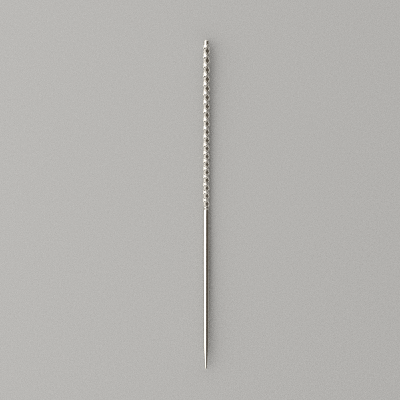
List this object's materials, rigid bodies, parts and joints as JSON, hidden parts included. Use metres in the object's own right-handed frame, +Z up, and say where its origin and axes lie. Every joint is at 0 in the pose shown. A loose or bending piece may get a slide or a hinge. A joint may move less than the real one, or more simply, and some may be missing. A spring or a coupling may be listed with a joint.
{
  "type": "hair pin",
  "caption": "Slim bowed metal pin that holds a hair bun, with a woven wire net over its upper half and a blunt point.",
  "frame": {"origin": "bottom centre of the bounding box, which is the lowest point of the bow, under the middle of the pin", "axes": "+Y along the pin towards its decorated end, +Z up towards the side the ends curve to, +X across the pin"},
  "size_m": [0.0034, 0.16, 0.0054],
  "materials": {
    "core_metal": "polished",
    "wire_metal": "polished"
  },
  "bodies": {
    "root": {"core_pin": "core_metal", "right_hand_strand_1_wire_a": "wire_metal", "right_hand_strand_1_wire_b": "wire_metal", "right_hand_strand_2_wire_a": "wire_metal", "right_hand_strand_2_wire_b": "wire_metal", "right_hand_strand_3_wire_a": "wire_metal", "right_hand_strand_3_wire_b": "wire_metal", "left_hand_strand_1_wire_a": "wire_metal", "left_hand_strand_1_wire_b": "wire_metal", "left_hand_strand_2_wire_a": "wire_metal", "left_hand_strand_2_wire_b": "wire_metal", "left_hand_strand_3_wire_a": "wire_metal", "left_hand_strand_3_wire_b": "wire_metal"}
  },
  "joints": []
}
